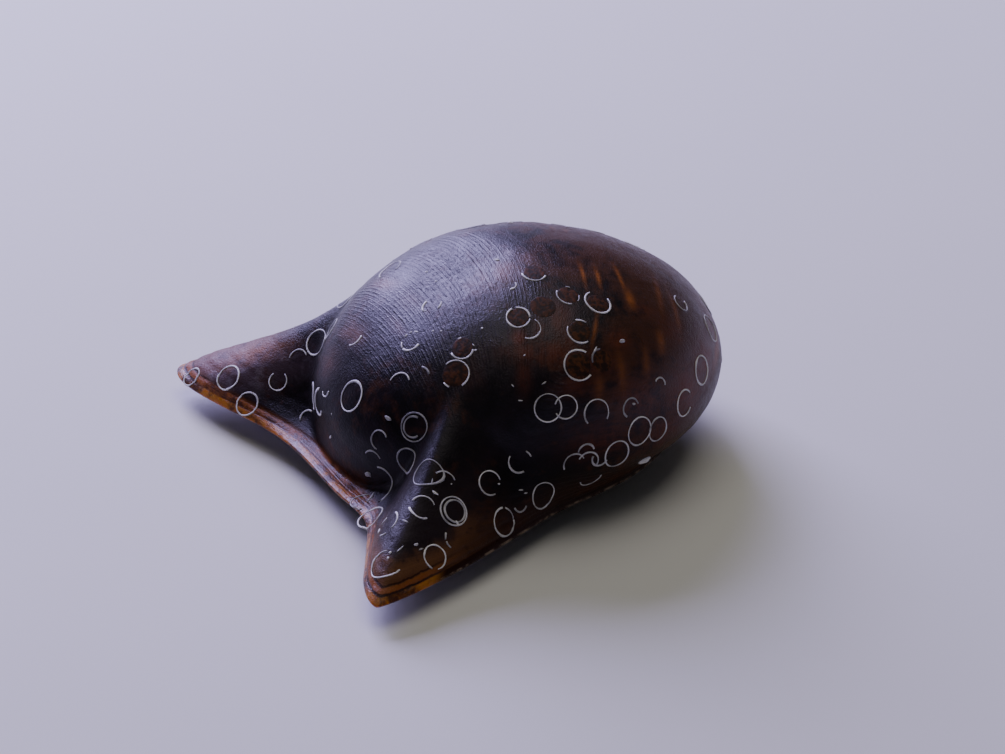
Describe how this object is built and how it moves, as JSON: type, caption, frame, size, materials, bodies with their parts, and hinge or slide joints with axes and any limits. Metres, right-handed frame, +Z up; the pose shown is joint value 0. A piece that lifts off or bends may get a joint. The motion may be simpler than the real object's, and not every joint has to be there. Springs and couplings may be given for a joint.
{
  "type": "bat nerite snail",
  "caption": "Still life-size bat nerite snail clamped on its foot: a domed black-brown shell with a wing-like horn at each front corner and pale rings left by egg capsules.",
  "frame": {"origin": "middle of the bounding box's base, on the floor under the middle of the shell", "axes": "the animal faces -Y, its left side is +X and +Z is up from the sole"},
  "size_m": [0.0209, 0.0204, 0.0094],
  "materials": {
    "shell_black": "satin-gloss black-brown shell skin with fine growth lines",
    "shell_amber": "satin-gloss amber-brown shell skin at the wings and margin",
    "shell_worn": "worn, matt apex of the shell",
    "operculum_horn": "smooth horny-limy lid",
    "flesh_pale": "moist pale grey-buff sole",
    "flesh_dark": "moist dark grey-brown skin",
    "eye_black": "glossy black eye"
  },
  "bodies": {
    "root": {"shell_body_whorl": "shell_black", "shell_wing_left": "shell_amber", "shell_wing_right": "shell_amber", "shell_spire": "shell_worn", "operculum": "operculum_horn", "foot": "flesh_pale", "mantle": "flesh_dark", "head": "flesh_dark", "snout": "flesh_dark", "tentacle_left": "flesh_dark", "tentacle_right": "flesh_dark", "eye_left": "eye_black", "eye_right": "eye_black"}
  },
  "joints": []
}
